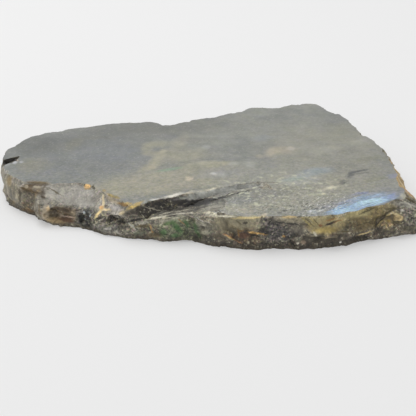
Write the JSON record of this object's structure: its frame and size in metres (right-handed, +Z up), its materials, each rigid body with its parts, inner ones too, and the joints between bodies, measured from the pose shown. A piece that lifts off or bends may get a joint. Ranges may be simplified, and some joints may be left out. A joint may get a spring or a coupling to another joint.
{
  "type": "labradorite freeform slice",
  "caption": "Flat slab of grey labradorite with a ground upper face, broken natural sides, a wedge-shaped groove and a blue flash near its pointed end.",
  "frame": {"origin": "centre of the bounding box at the underside, on the surface that the slab lies on", "axes": "+X along the slab's length towards its pointed end, +Y across it away from the grooved side, +Z up out of the ground face"},
  "size_m": [0.121, 0.0894, 0.0094],
  "materials": {
    "labradorite": "ground satin face, rough broken sides"
  },
  "bodies": {
    "root": {"labradorite_slice": "labradorite"}
  },
  "joints": []
}
